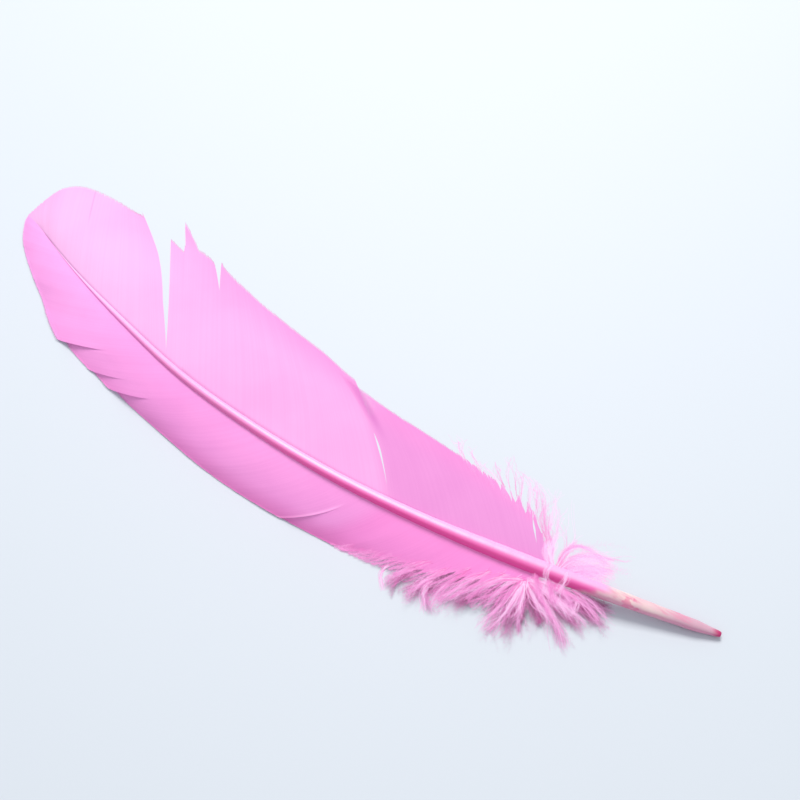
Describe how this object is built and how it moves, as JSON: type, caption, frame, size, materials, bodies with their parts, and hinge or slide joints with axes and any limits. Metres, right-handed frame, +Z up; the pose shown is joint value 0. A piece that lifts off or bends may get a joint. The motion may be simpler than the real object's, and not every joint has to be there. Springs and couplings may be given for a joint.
{
  "type": "goose quill feather",
  "caption": "Dyed pink goose wing feather lying flat: a bare tapered quill, an arched shaft, a broad split inner vane, a narrow outer vane and curled down at the base.",
  "frame": {"origin": "under the middle of the feather's bounding box, on the surface that it lies on", "axes": "+X from the bare quill end to the vane's tip, +Y towards the narrow outer vane, +Z up from the surface through the feather's upper side"},
  "size_m": [0.2994, 0.0784, 0.0149],
  "materials": {
    "vane": "soft satin keratin barbs, dyed pink, slightly see-through",
    "shaft": "smooth satin keratin, dyed pink, bare end cream with pink stains",
    "down": "loose fluffy keratin strands, dyed pink"
  },
  "bodies": {
    "root": {"feather": "vane"}
  },
  "joints": []
}
